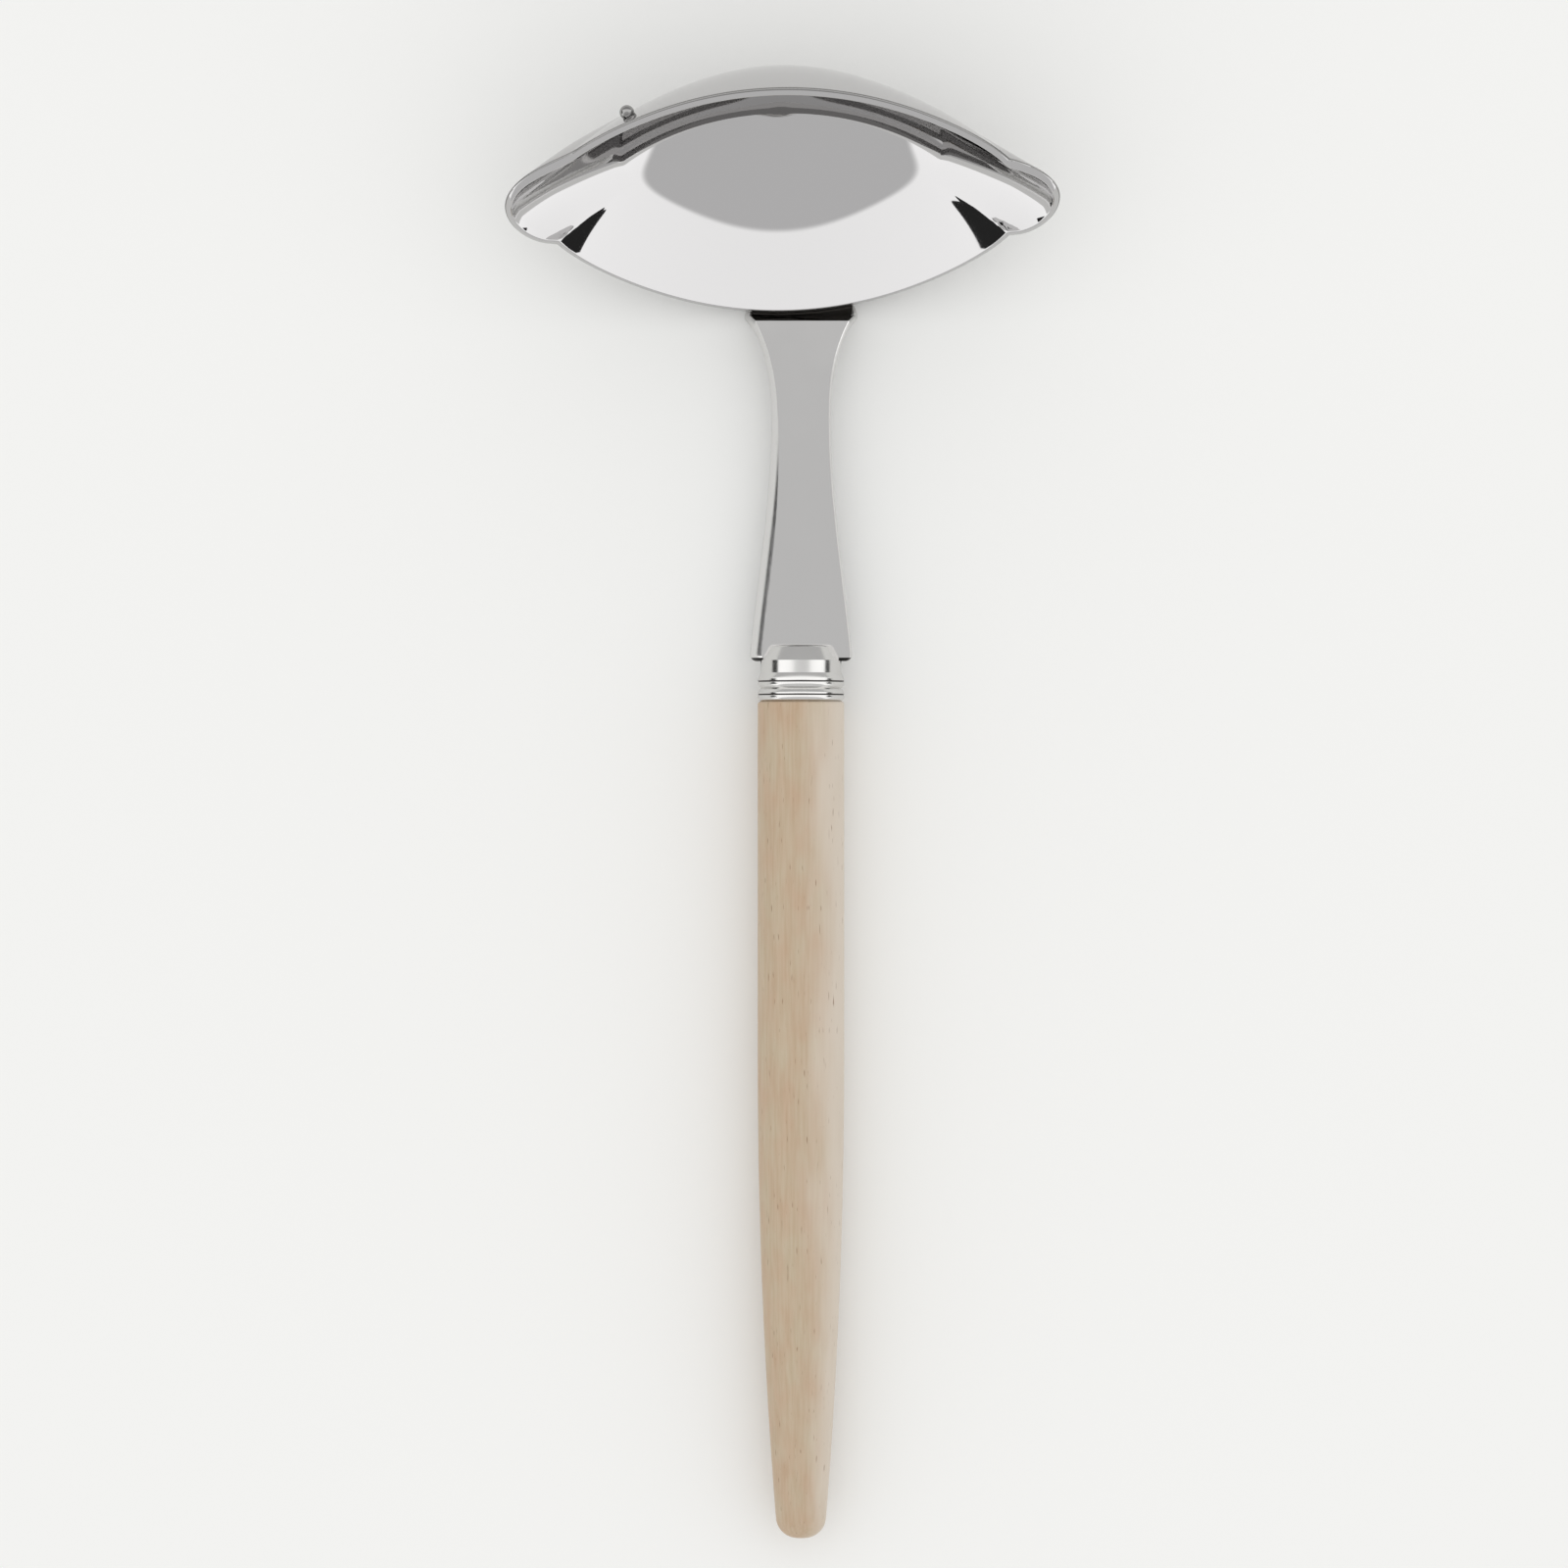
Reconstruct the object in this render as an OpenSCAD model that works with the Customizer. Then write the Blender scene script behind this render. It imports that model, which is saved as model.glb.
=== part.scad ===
// Gravy ladle: a pressed steel bowl on a forged neck, with a turned ferrule and a turned wooden handle.
// It lies on the table at z = 0 with the handle along Y and the bowl at +Y.
// Sizes are in millimetres and degrees.

/* [Bowl] */
// Width of the bowl at its rim, without the lips
bowl_width = 65.1; // [50:0.1:90]
// Length of the bowl at its rim, from the neck to the far side
bowl_length = 42.3; // [34:0.1:60]
// Depth of the bowl below its rim, outside
bowl_depth = 17.9; // [15:0.1:24]
// Thickness of the bowl's sheet
bowl_wall = 1.1; // [0.8:0.05:2]
// How far each end of the bowl flares out towards its lip
bowl_flare = 1; // [0:0.1:4]
// Share by which the rim's outline draws in between its four ends
bowl_draw = 0.05; // [0:0.005:0.06]
// Level of the full oval at which the rim is cut, so that the wall leans outwards
rim_level = 32; // [24:0.5:40]
// Angle between the bowl's rim and the handle
bowl_tilt = 50; // [46:0.5:53]
// Turn of the bowl on the neck, seen from above
bowl_turn = 1.1; // [-2:0.05:2]

/* [Pouring lips] */
// How far each lip reaches past the end of the bowl
lip_reach = 3.95; // [2:0.05:8]
// Width of each lip at the rim
lip_width = 15.1; // [8:0.1:20]
// Depth at which each lip's channel runs out into the bowl
lip_depth = 9.5; // [5:0.1:12]
// Share by which each lip's channel widens on its way down
lip_spread = 0.5; // [0:0.05:0.8]

/* [Neck] */
// Thickness of the neck's bar
neck_thickness = 2.4; // [1.5:0.1:4]
// Length of the flat bar, from its foot in the ferrule to its bend
neck_length = 45; // [30:0.5:80]
// Width of the bar at its foot
neck_foot_width = 13.7; // [10:0.1:18]
// Width of the bar at its waist
neck_waist_width = 7.9; // [5:0.1:10]
// Distance from the foot to the waist
neck_waist_place = 31.6; // [20:0.1:40]
// Width of the bar at its bend
neck_bend_width = 13.4; // [10:0.1:18]
// Bevel along the bar's edges
neck_bevel = 0.6; // [0.2:0.05:1]
// Thickness of the tongue below the rim
tongue_start = 1.3; // [1:0.05:1.6]
// Width of the tongue that lies under the bowl's wall
tongue_width = 15; // [10:0.1:20]
// Thickness of the tongue at its end
tongue_end = 0.5; // [0.4:0.05:1]
// Diameter of the round tang in the handle
tang_diameter = 4.4; // [3:0.1:6]
// Length of the tang below the bar's foot
tang_length = 45; // [25:0.5:70]
// Height of the tang inside the bar's foot
tang_seat = 0.6; // [0.3:0.1:1]
// How far the near rim lies below the bar's upper face
rim_drop = 5.04; // [4:0.01:5.5]
// How far the near rim lies past the bar's bend
crank_run = 1.32; // [0.8:0.01:3]
// Sideways place of the handle's axis from the middle of the bowl
neck_offset = 2.45; // [-4:0.05:4]

/* [Ferrule] */
// Height of the ferrule
ferrule_height = 7.5; // [6:0.1:14]
// Diameter of the ferrule's domed body
ferrule_diameter = 10.7; // [9:0.1:16]
// Radius that rounds the top of the dome
ferrule_dome = 2.4; // [1:0.1:4]
// Diameter over the ferrule's beads
ferrule_bead_diameter = 11.45; // [9:0.05:17]
// Height of each bead
ferrule_bead_height = 1.7; // [1:0.1:2.5]
// How far each bead stands out from the grooves beside it
ferrule_bead_rise = 0.25; // [0.1:0.05:0.4]
// Wall of the ferrule round the handle's tenon
ferrule_wall = 1.2; // [0.8:0.1:2]
// Depth of the slot that takes the foot of the neck
ferrule_slot_depth = 2.15; // [1:0.05:4]
// Thickness of the ferrule between the slot and the handle's tenon
ferrule_roof = 1.3; // [0.6:0.1:3]

/* [Handle] */
// Length of the wood that shows below the ferrule
handle_length = 110.7; // [80:0.1:160]
// Diameter of the straight grip
handle_diameter = 11.45; // [9:0.05:16]
// Length of the straight grip
handle_straight = 47.5; // [30:0.5:80]
// Diameter that the taper reaches at the end
handle_end_diameter = 6.2; // [5:0.1:9]
// Radius that rounds the end
handle_end_radius = 2.8; // [0.5:0.1:3]
// Radius that eases the edge below the ferrule
handle_edge_radius = 0.4; // [0.1:0.1:1]

/* [Joints] */
// Clearance on each side of the slot, the tenon and the ferrule's bore
fit_clearance = 0.08; // [0.05:0.01:0.2]
// Thickness of the resin round the tang
resin_thickness = 0.4; // [0.2:0.05:1]
// Room below the end of the tang
resin_plug = 1.5; // [0.5:0.1:3]
// Least thickness of the braze between the tongue and the bowl
braze_thickness = 0.2; // [0.1:0.05:0.5]
// Margin between the braze and the edge of the tongue
braze_margin = 0.3; // [0.1:0.05:1]

/* [Rest bead] */
// Diameter of the bead on the bowl's far side
bead_diameter = 1.9; // [1:0.1:3]
// Angle of the bead round the bowl, from the right lip
bead_angle = 145.5; // [90:0.5:180]
// Level of the full oval at the bead
bead_level = 37.5; // [30:0.5:80]
// How deep the bead's flat is ground
bead_flat = 0.2; // [0.1:0.05:0.5]

/* [Hidden] */
$fn = 72;

// Half sizes of the full oval that the bowl is cut from, and the height of its middle above the rim
half_length = bowl_length / 2;
full_length = half_length / cos(rim_level);
full_body = (bowl_width / 2 - bowl_flare) / cos(rim_level);
full_width = bowl_width / 2 / cos(rim_level);
full_depth = bowl_depth / (1 - sin(rim_level));
cut_height = full_depth * sin(rim_level);

// Heights above the table, with the lower one of the belly and the grip resting on it
rim_rise = half_length * sin(bowl_tilt);
belly_drop = norm([full_length * sin(bowl_tilt), full_depth * cos(bowl_tilt)]) - cut_height * cos(bowl_tilt);
belly_below_axis = belly_drop - rim_rise + rim_drop - neck_thickness / 2;
axis_height = max(handle_diameter / 2, ferrule_bead_diameter / 2, belly_below_axis);
neck_top = axis_height + neck_thickness / 2;
rim_height = neck_top - rim_drop + rim_rise;

// Places along the handle's axis, measured from where the wood meets the ferrule
foot_place = ferrule_height - ferrule_slot_depth;
tenon_length = foot_place - ferrule_roof;
bend_place = foot_place + neck_length;
rim_place = bend_place + crank_run + half_length * cos(bowl_tilt);
belly_reach = norm([full_length * cos(bowl_tilt), full_depth * sin(bowl_tilt)]) - cut_height * sin(bowl_tilt);

// Shift that brings the middle of the whole ladle to the origin
middle = (rim_place + belly_reach - handle_length) / 2;

// Handle and ferrule
taper_length = handle_length - handle_straight;
taper_drop = (handle_diameter - handle_end_diameter) / 2;
taper_radius = (taper_length ^ 2 + taper_drop ^ 2) / (2 * taper_drop);
end_radius = min(handle_end_radius, handle_end_diameter / 2 - 0.1);
taper_end = (taper_length - end_radius) / (1 - end_radius / taper_radius);
taper_slope = asin(taper_end / taper_radius);
recess_diameter = ferrule_diameter - 2 * ferrule_wall;
tenon_diameter = recess_diameter - 2 * fit_clearance;
tang_end = foot_place - tang_length;
bore_end = tang_end - resin_plug;
bead_arc = ((ferrule_bead_height / 2) ^ 2 + ferrule_bead_rise ^ 2) / (2 * ferrule_bead_rise);

// Angles at which the bowl's skin has points, close together across each lip
lip_angles = [0, 2, 4, 6, 7.5, 9, 10, 11, 11.7, 12.4, 13.5, 15, 17, 20, 24, 29, 35, 42, 50, 59, 69, 79];
skin_angles = concat(
    lip_angles, [90],
    [for (i = [len(lip_angles) - 1 : -1 : 1]) 180 - lip_angles[i]],
    [for (angle = lip_angles) 180 + angle], [270],
    [for (i = [len(lip_angles) - 1 : -1 : 1]) 360 - lip_angles[i]]
);
skin_shares = [0, 0.035, 0.07, 0.11, 0.16, 0.21, 0.27, 0.33, 0.41, 0.5, 0.6, 0.71, 0.84];

// Levels of the tongue's rows below the rim, and the lines across it
tongue_first = rim_level - 0.4;
tongue_last = rim_level + 6;
tongue_steps = 6;
cross_steps = 8;

// Faces of a closed skin through rings of points, with one point at each end
function skin_faces(rings, count) = concat(
    [for (i = [0 : count - 1]) [0, 1 + i, 1 + (i + 1) % count]],
    [for (j = [0 : rings - 2], i = [0 : count - 1])
        let (a = 1 + j * count + i, b = 1 + j * count + (i + 1) % count)
        each [[a, b + count, b], [a, a + count, b + count]]],
    [for (i = [0 : count - 1])
        let (start = 1 + (rings - 1) * count)
        [rings * count + 1, start + (i + 1) % count, start + i]]
);

// Middle of a ring of points
function ring_middle(ring) = [for (axis = [0 : 2]) [for (p = ring) 1] * [for (p = ring) p[axis]] / len(ring)];

// Points of a closed skin, with the middle of its first and last ring at its ends
function skin_points(rings) = concat(
    [ring_middle(rings[0])],
    [for (ring = rings) each ring],
    [ring_middle(rings[len(rings) - 1])]
);

// From the bowl's own frame, with its rim's middle at the origin, to the table
function turned(p) =
    let (y = p.y * cos(bowl_tilt) - p.z * sin(bowl_tilt), z = p.y * sin(bowl_tilt) + p.z * cos(bowl_tilt))
    [p.x * cos(bowl_turn) - y * sin(bowl_turn), p.x * sin(bowl_turn) + y * cos(bowl_turn), z];
function placed(p) = turned(p) + [0, rim_place - middle, rim_height];

// Distance of the oval body from the bowl's axis at an angle, for a half width and a half length
function oval(angle, across, along) =
    let (ring_angle = atan2(across * sin(angle), along * cos(angle)))
    (1 - bowl_draw * sin(2 * ring_angle) ^ 2) / norm([cos(angle) / across, sin(angle) / along]);

// How far a lip stands out of the body at an angle and a depth
function lip(angle, drop, inset) =
    let (
        share = min(drop / lip_depth, 1),
        half_angle = asin((lip_width / 2 - inset) / (bowl_width / 2)) * (1 + lip_spread * share),
        fold = min(angle % 180, 180 - angle % 180) / half_angle
    )
    fold < 1 ? lip_reach * (1 - share) * (1 - fold ^ 2) ^ (0.5 + 1.5 * share) : 0;

// Point of the bowl's skin at an angle round it and a level of the oval, set in from the outside
function bowl_point(angle, level, inset) =
    let (
        drop = (full_depth - inset) * sin(level) - cut_height,
        across = (full_body - inset) * cos(level) + bowl_flare * (cos(level) / cos(rim_level)) ^ 6,
        along = (full_length - inset) * cos(level),
        reach = oval(angle, across, along) + lip(angle, drop, inset)
    )
    [reach * cos(angle), reach * sin(angle), -drop];

// Outward normal of the bowl's skin at a point of it
function bowl_normal(p) =
    let (n = [p.x / full_width ^ 2, p.y / full_length ^ 2, (p.z - cut_height) / full_depth ^ 2])
    n / norm(n);

// Level of a skin's ring at a share of the way from the rim to the bottom
function ring_level(share, inset) =
    let (first = asin(cut_height / (full_depth - inset)))
    first + (90 - first) * share;

// Ring round the bowl at one share of the way down, and the crown of the rim between the two skins
function bowl_ring(share, inset) = [
    for (angle = skin_angles) placed(bowl_point(angle, ring_level(share, inset), inset))
];
function crown_ring() = [
    for (angle = skin_angles)
    placed(bowl_point(angle, ring_level(0, bowl_wall / 2), bowl_wall / 2) + [0, 0, bowl_wall / 4])
];

module bowl() {
    rings = concat(
        [for (i = [len(skin_shares) - 1 : -1 : 0]) bowl_ring(skin_shares[i], 0)],
        [crown_ring()],
        [for (share = skin_shares) bowl_ring(share, bowl_wall)]
    );
    points = concat(
        [placed([0, 0, -bowl_depth])],
        [for (ring = rings) each ring],
        [placed([0, 0, bowl_wall - bowl_depth])]
    );
    color([0.78, 0.78, 0.77])
        polyhedron(points, skin_faces(len(rings), len(skin_angles)), convexity = 6);
}

// Half width of the flat bar at a distance from its foot
function bar_half(distance) =
    let (
        down = (neck_waist_place - distance) / neck_waist_place,
        up = (distance - neck_waist_place) / (neck_length - neck_waist_place),
        waist = neck_waist_width / 2
    )
    down > 0
        ? waist + (neck_foot_width / 2 - waist) * down ^ 2 * (2 - down)
        : waist + (neck_bend_width / 2 - waist) * max(up, 0) ^ 2.5;

// Middle line of the near wall at a level, moved outwards, as a place along Y and a height
function wall_line(level, gap) =
    let (
        p = [0, -full_length * cos(level), cut_height - full_depth * sin(level)],
        q = p + bowl_normal(p) * gap
    )
    [
        rim_place + q.y * cos(bowl_tilt) - q.z * sin(bowl_tilt),
        rim_height + q.y * sin(bowl_tilt) + q.z * cos(bowl_tilt)
    ];

// Levels, half widths and thicknesses along the tongue
function tongue_level(step) = tongue_first + (tongue_last - tongue_first) * step / tongue_steps;
function tongue_half(step) = tongue_width / 2 * sqrt(1 - (step / (tongue_steps + 0.6)) ^ 2);
function tongue_thickness(step) = tongue_start + (tongue_end - tongue_start) * step / tongue_steps;

// Rows along the neck, each with its upper place, its lower place and its half width
bend_draw = neck_thickness * tan(atan2(rim_drop, crank_run) / 2);
bar_steps = 28;
bar_rows = [
    for (i = [0 : bar_steps])
    let (distance = neck_length * i / bar_steps, lower = (neck_length - bend_draw) * i / bar_steps)
    [[foot_place + distance, neck_top], [foot_place + lower, neck_top - neck_thickness], bar_half(distance)]
];
tongue_rows = [
    for (i = [0 : tongue_steps])
    let (level = tongue_level(i))
    [
        wall_line(level, braze_thickness),
        wall_line(level, braze_thickness + tongue_thickness(i)),
        tongue_half(i)
    ]
];

// Ring round one row of the neck, with its four edges bevelled
function neck_point(row, across, share) =
    let (p = row[0] + (row[1] - row[0]) * share)
    [neck_offset + across, p[0] - middle, p[1]];
function neck_ring(row) =
    let (half = row[2], flat = row[2] - neck_bevel, edge = min(neck_bevel / norm(row[1] - row[0]), 0.4))
    concat(
        [for (i = [0 : cross_steps]) neck_point(row, flat * (2 * i / cross_steps - 1), 0)],
        [neck_point(row, half, edge), neck_point(row, half, 1 - edge)],
        [for (i = [0 : cross_steps]) neck_point(row, flat * (1 - 2 * i / cross_steps), 1)],
        [neck_point(row, -half, 1 - edge), neck_point(row, -half, edge)]
    );

// Moves a turned piece onto the handle's axis, with its own z axis pointing to the bowl
module on_axis() {
    translate([neck_offset, -middle, axis_height]) rotate([-90, 0, 0]) children();
}

module tang(radius_added, top, bottom) {
    on_axis() translate([0, 0, bottom]) cylinder(d = tang_diameter + 2 * radius_added, h = top - bottom);
}

module neck() {
    rings = [for (row = concat(bar_rows, tongue_rows)) neck_ring(row)];
    color([0.76, 0.76, 0.75]) union() {
        polyhedron(skin_points(rings), skin_faces(len(rings), len(rings[0])), convexity = 6);
        tang(0, foot_place + tang_seat, tang_end);
    }
}

// Point of the near wall at a sideways place and a level, moved outwards
function wall_angle(across, level, tries) =
    tries == 0
        ? 270
        : let (p = bowl_point(wall_angle(across, level, tries - 1), level, 0))
          360 - acos(across / norm([p.x, p.y]));
function wall_point(across, level, gap) =
    let (p = bowl_point(wall_angle(across, level, 4), level, 0))
    placed(p + bowl_normal(p) * gap);

// Ring round the braze at one line across the tongue, with the bowl's wall above it and the tongue below it
braze_skin = 0.05;
function braze_across(step, line) =
    neck_offset + (tongue_half(step) - neck_bevel - braze_margin) * (2 * line / cross_steps - 1);
function braze_ring(line) = concat(
    [for (step = [tongue_steps : -1 : 0]) wall_point(braze_across(step, line), tongue_level(step), braze_skin)],
    [for (step = [0 : tongue_steps])
        let (below = wall_line(tongue_level(step), braze_thickness))
        [braze_across(step, line), below[0] - middle, below[1]]]
);

module braze() {
    rings = [for (line = [0 : cross_steps]) braze_ring(line)];
    color([0.55, 0.53, 0.48])
        polyhedron(skin_points(rings), skin_faces(len(rings), len(rings[0])), convexity = 6);
}

// Outline of one bead, from its lower groove to its upper groove
function bead_outline(place) = [
    for (i = [0 : 8])
    let (y = ferrule_bead_height * (i / 8 - 0.5))
    [ferrule_bead_diameter / 2 - bead_arc + sqrt(bead_arc ^ 2 - y ^ 2), place + y]
];

module ferrule() {
    body = ferrule_diameter / 2;
    outline = concat(
        [[0, 0]],
        bead_outline(ferrule_bead_height / 2),
        bead_outline(ferrule_bead_height * 3 / 2),
        [[body, 2 * ferrule_bead_height]],
        [for (i = [0 : 12])
            [body - ferrule_dome * (1 - cos(i * 7.5)), ferrule_height - ferrule_dome * (1 - sin(i * 7.5))]],
        [[0, ferrule_height]]
    );
    slot = neck_thickness + 2 * fit_clearance;
    color([0.8, 0.79, 0.77]) difference() {
        on_axis() rotate_extrude() polygon(outline);
        on_axis() translate([0, 0, -1])
            cylinder(d = recess_diameter, h = tenon_length + fit_clearance + 1);
        tang(fit_clearance, foot_place + tang_seat + fit_clearance, 0);
        on_axis() translate([-ferrule_diameter, -slot / 2, foot_place])
            cube([2 * ferrule_diameter, slot, ferrule_height]);
    }
}

module handle() {
    grip = handle_diameter / 2;
    taper_x = grip - taper_radius + sqrt(taper_radius ^ 2 - taper_end ^ 2);
    end_x = taper_x - end_radius * cos(taper_slope);
    outline = concat(
        [[0, tenon_length], [tenon_diameter / 2, tenon_length], [tenon_diameter / 2, 0]],
        [for (i = [0 : 6])
            [grip - handle_edge_radius * (1 - sin(i * 15)), -handle_edge_radius * (1 - cos(i * 15))]],
        [for (i = [0 : 16])
            let (run = taper_end * i / 16)
            [grip - taper_radius + sqrt(taper_radius ^ 2 - run ^ 2), -handle_straight - run]],
        [for (i = [1 : 10])
            let (angle = taper_slope + (90 - taper_slope) * i / 10)
            [end_x + end_radius * cos(angle), end_radius * (1 - sin(angle)) - handle_length]],
        [[0, -handle_length]]
    );
    color([0.76, 0.66, 0.54]) difference() {
        on_axis() rotate_extrude() polygon(outline);
        tang(resin_thickness, tenon_length + 1, bore_end);
    }
}

module adhesive() {
    color([0.75, 0.68, 0.45]) difference() {
        tang(resin_thickness, tenon_length, bore_end);
        tang(0, tenon_length + 1, tang_end);
    }
}

module rest_bead() {
    p = bowl_point(bead_angle, bead_level, 0);
    n = turned(bowl_normal(p));
    radius = bead_diameter / 2;
    color([0.8, 0.8, 0.78])
        translate(placed(p)) rotate([0, acos(n.z), atan2(n.y, n.x)]) difference() {
            translate([0, 0, radius - bead_flat]) sphere(d = bead_diameter);
            translate([-radius, -radius, -bead_diameter]) cube(2 * radius);
        }
}

bowl();
neck();
braze();
ferrule();
handle();
adhesive();
rest_bead();
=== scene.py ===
from math import asin, atan2, copysign, cos, hypot, pi, radians, sin, sqrt, tan

import bmesh
import bpy
from mathutils import Matrix, Vector


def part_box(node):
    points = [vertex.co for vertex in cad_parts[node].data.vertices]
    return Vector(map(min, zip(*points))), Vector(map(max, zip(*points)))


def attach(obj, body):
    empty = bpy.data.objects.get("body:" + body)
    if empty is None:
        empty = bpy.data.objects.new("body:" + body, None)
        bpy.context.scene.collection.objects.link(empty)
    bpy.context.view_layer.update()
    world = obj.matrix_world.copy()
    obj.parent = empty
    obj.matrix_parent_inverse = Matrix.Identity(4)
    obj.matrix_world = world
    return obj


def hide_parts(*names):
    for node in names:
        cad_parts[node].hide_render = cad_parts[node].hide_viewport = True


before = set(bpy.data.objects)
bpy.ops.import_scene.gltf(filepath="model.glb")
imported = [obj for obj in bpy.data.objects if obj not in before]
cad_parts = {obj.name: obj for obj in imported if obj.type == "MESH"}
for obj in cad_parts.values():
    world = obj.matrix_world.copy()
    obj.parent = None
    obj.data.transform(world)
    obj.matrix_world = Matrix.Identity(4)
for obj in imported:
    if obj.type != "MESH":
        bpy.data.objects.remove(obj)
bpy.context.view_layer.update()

# Camera
# The ladle is seen from straight above, with the bowl at the top of the picture and the handle hanging
# down. Sizes in this file are in millimetres, and mm turns them into the frame's metres. Places along the
# ladle are measured from the joint, where the wood meets the ferrule.
mm = 0.001
camera_distance = 1100
picture_width = 207.58
picture_side = 0.2
picture_below_joint = 10.92
picture_height = 5.8
sensor_width = 36
ferrule_low, ferrule_high = (Vector(corner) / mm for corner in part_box("ferrule"))
joint_place = ferrule_low.y
axis_side = (ferrule_low.x + ferrule_high.x) / 2
axis_height = (ferrule_low.z + ferrule_high.z) / 2
picture_middle = Vector((picture_side, joint_place - picture_below_joint, picture_height))

camera = bpy.data.objects.new("camera", bpy.data.cameras.new("camera"))
camera.data.sensor_width = sensor_width
camera.data.lens = sensor_width * camera_distance / picture_width
camera.location = (picture_middle + Vector((0, 0, camera_distance))) * mm
bpy.context.scene.collection.objects.link(camera)
bpy.context.scene.camera = camera

# Bowl
# An oval dish with a pouring lip at its left and right end, tilted up from the handle. It is pressed from
# one sheet of stainless steel just over a millimetre thick and mirror polished, and its rim is ground and
# rounded.
bowl_width = 65.1
bowl_length = 42.3
bowl_depth = 17.9
bowl_wall = 1.1
bowl_flare = 1
bowl_flare_power = 6
bowl_draw = 0.05
rim_level = radians(32)
bowl_tilt = radians(50)
bowl_turn = radians(1.1)
lip_reach = 3.95
lip_width = 15.1
lip_depth = 9.5
lip_spread = 0.5
lip_near_power = 0.5
lip_far_power = 1
lip_foot_power = 1.5
lip_crease_depth = 4
left_flank_spread = 1.6
left_flank_power = 2
near_rim_place = 51.67
near_rim_below_axis = 3.84
rim_lift = 0.55
rim_round = 0.25
rim_squareness = 0.62
outer_relief = 0.03
ground_width = 0.3
ground_height = 0.15
skin_columns = 480
skin_rings = 90
rim_rings = 6
lip_crowding = 0.75
merge_distance = 1e-5

half_length = bowl_length / 2
full_length = half_length / cos(rim_level)
full_body = (bowl_width / 2 - bowl_flare) / cos(rim_level)
full_width = bowl_width / 2 / cos(rim_level)
full_depth = bowl_depth / (1 - sin(rim_level))
cut_height = full_depth * sin(rim_level)
pole_level = pi / 2 - 1e-6
rim_place = joint_place + near_rim_place + half_length * cos(bowl_tilt)
rim_height = axis_height - near_rim_below_axis + half_length * sin(bowl_tilt)
bowl_frame = (
    Matrix.Translation((0, rim_place, rim_height))
    @ Matrix.Rotation(bowl_turn, 4, "Z")
    @ Matrix.Rotation(bowl_tilt, 4, "X")
)


def oval(angle, across, along):
    """Distance of the oval body from the bowl's axis at an angle, for a half width and a half length."""
    ring_angle = atan2(across * sin(angle), along * cos(angle))
    return (1 - bowl_draw * sin(2 * ring_angle) ** 2) / hypot(cos(angle) / across, sin(angle) / along)


def lip(angle, drop, inset):
    """How far a lip stands out of the body at an angle and a depth.

    The power sets how softly a flank meets the body, and the left lip's far flank is the broadest one.
    """
    share = max(0, min(drop / lip_depth, 1))
    half_angle = asin((lip_width / 2 - inset) / (bowl_width / 2)) * (1 + lip_spread * share)
    rim_power = lip_far_power if sin(angle) > 0 else lip_near_power
    if sin(angle) > 0 > cos(angle):
        half_angle *= left_flank_spread
        rim_power = left_flank_power
    fold = min(angle % pi, pi - angle % pi) / half_angle
    if fold >= 1:
        return 0
    crease = min(1, max(0, drop) / lip_crease_depth)
    power = rim_power + (lip_foot_power - rim_power) * crease
    return lip_reach * (1 - share) * (1 - fold**2) ** power


def level_at(drop, inset):
    """Level of the full oval at a depth below the rim."""
    return asin((drop + cut_height) / (full_depth - inset))


def bowl_point(angle, level, inset):
    """Point of the bowl's skin at an angle and a level of the full oval, set in from the outside."""
    drop = (full_depth - inset) * sin(level) - cut_height
    if level > pole_level:
        return Vector((0, 0, -drop))
    flare = bowl_flare * (cos(level) / cos(rim_level)) ** bowl_flare_power
    across = (full_body - inset) * cos(level) + flare
    along = (full_length - inset) * cos(level)
    reach = oval(angle, across, along) + lip(angle, drop, inset)
    return Vector((reach * cos(angle), reach * sin(angle), -drop))


def bowl_skin(turn, ring):
    """Point of the bowl at a turn round it and a ring.

    Rings below zero are outside, those round zero go over the rim, and those above zero are inside.
    """
    angle = turn - lip_crowding * sin(2 * turn) / 2
    below_rim = abs(ring) - rim_rings
    if below_rim > 0:
        inset = bowl_wall if ring > 0 else outer_relief
        first = level_at(rim_round - (rim_lift if ring > 0 else 0), inset)
        return bowl_point(angle, first + (pi / 2 - first) * below_rim / (skin_rings - rim_rings), inset)
    lean = pi / 2 * ring / rim_rings
    share = (1 + copysign(abs(sin(lean)) ** rim_squareness, ring)) / 2
    inset = outer_relief + (bowl_wall - outer_relief) * share
    drop = rim_round * (1 - abs(cos(lean)) ** rim_squareness) - rim_lift * share
    return bowl_point(angle, level_at(drop, inset), inset)


def shaped_grid(columns, rows, place):
    """A grid with every point moved to place(column, row), its seams closed and its faces outwards."""
    maker = bmesh.new()
    bmesh.ops.create_grid(maker, x_segments=columns, y_segments=rows, size=1)
    for vert in maker.verts:
        column = round((vert.co.x + 1) / 2 * columns)
        row = round((vert.co.y + 1) / 2 * rows)
        vert.co = place(column, row)
    bmesh.ops.remove_doubles(maker, verts=maker.verts, dist=merge_distance)
    bmesh.ops.recalc_face_normals(maker, faces=maker.faces)
    return maker


def add_piece(name, maker, material, sharp_angle=pi):
    """Turns a finished bmesh in millimetres into a smooth piece at the origin."""
    bmesh.ops.scale(maker, vec=(mm, mm, mm), verts=maker.verts)
    mesh = bpy.data.meshes.new(name)
    maker.to_mesh(mesh)
    maker.free()
    mesh.shade_smooth()
    mesh.set_sharp_from_angle(angle=sharp_angle)
    mesh.materials.append(material)
    piece = bpy.data.objects.new(name, mesh)
    bpy.context.scene.collection.objects.link(piece)
    return piece


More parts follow.
